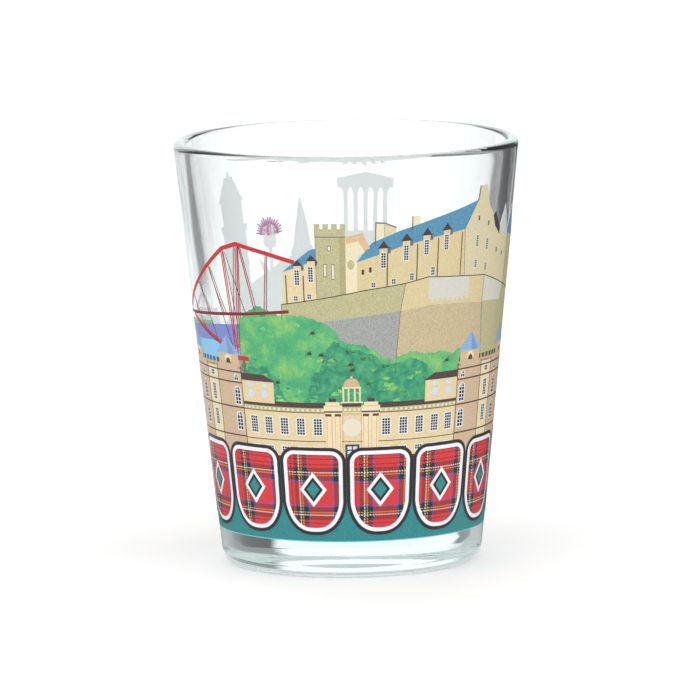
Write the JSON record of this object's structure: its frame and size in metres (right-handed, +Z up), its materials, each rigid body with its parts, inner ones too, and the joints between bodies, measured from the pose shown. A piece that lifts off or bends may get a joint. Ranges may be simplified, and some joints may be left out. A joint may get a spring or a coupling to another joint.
{
  "type": "shot glass",
  "caption": "Tapered clear shot glass with a rounded lip, heavy base and a fired wrap print of a hill castle, town hall, trees, truss bridge and tartan shields.",
  "frame": {"origin": "centre of the foot on the standing plane", "axes": "+Z up along the axis of the glass; the front of the print faces -Y and its right is +X"},
  "size_m": [0.05, 0.05, 0.0615],
  "materials": {
    "clear_glass": "clear pressed soda-lime, fire-polished",
    "ink_white": "fired opaque white",
    "ink_teal": "fired matt colour",
    "ink_black": "fired matt colour",
    "ink_red": "fired matt colour, woven check",
    "ink_sandstone": "fired matt colour",
    "ink_dark_brown": "fired matt colour",
    "ink_tan": "fired matt colour",
    "ink_pale_blue": "fired matt colour",
    "ink_green": "fired matt colour, mottled",
    "ink_wall": "fired matt colour",
    "ink_slate_blue": "fired matt colour",
    "ink_khaki": "fired matt colour",
    "ink_rock_tan": "fired matt colour",
    "ink_grey": "fired matt colour",
    "ink_bridge_red": "fired matt colour",
    "ink_water_blue": "fired matt colour",
    "ink_pink": "fired matt colour"
  },
  "bodies": {
    "root": {"glass_body": "clear_glass", "print_underbase": "ink_white", "ground_teal": "ink_teal", "shield_edge_black": "ink_black", "shield_edge_white": "ink_white", "shield_tartan": "ink_red", "hall_stone": "ink_sandstone", "hall_roofs": "ink_dark_brown", "hall_cupola": "ink_sandstone", "tower_stone": "ink_tan", "tower_caps": "ink_pale_blue", "trees_green": "ink_green", "castle_walls": "ink_wall", "castle_roofs": "ink_slate_blue", "rampart_khaki": "ink_khaki", "rock_tan": "ink_rock_tan", "rock_grey": "ink_grey", "bridge_red": "ink_bridge_red", "water_blue": "ink_water_blue", "hill_green": "ink_green", "terrace_stone": "ink_tan", "terrace_roofs": "ink_slate_blue", "clock_tower_stone": "ink_wall", "chapel_stone": "ink_grey", "monument_stone": "ink_grey", "flower_pink": "ink_pink", "flower_green": "ink_green"}
  },
  "joints": []
}
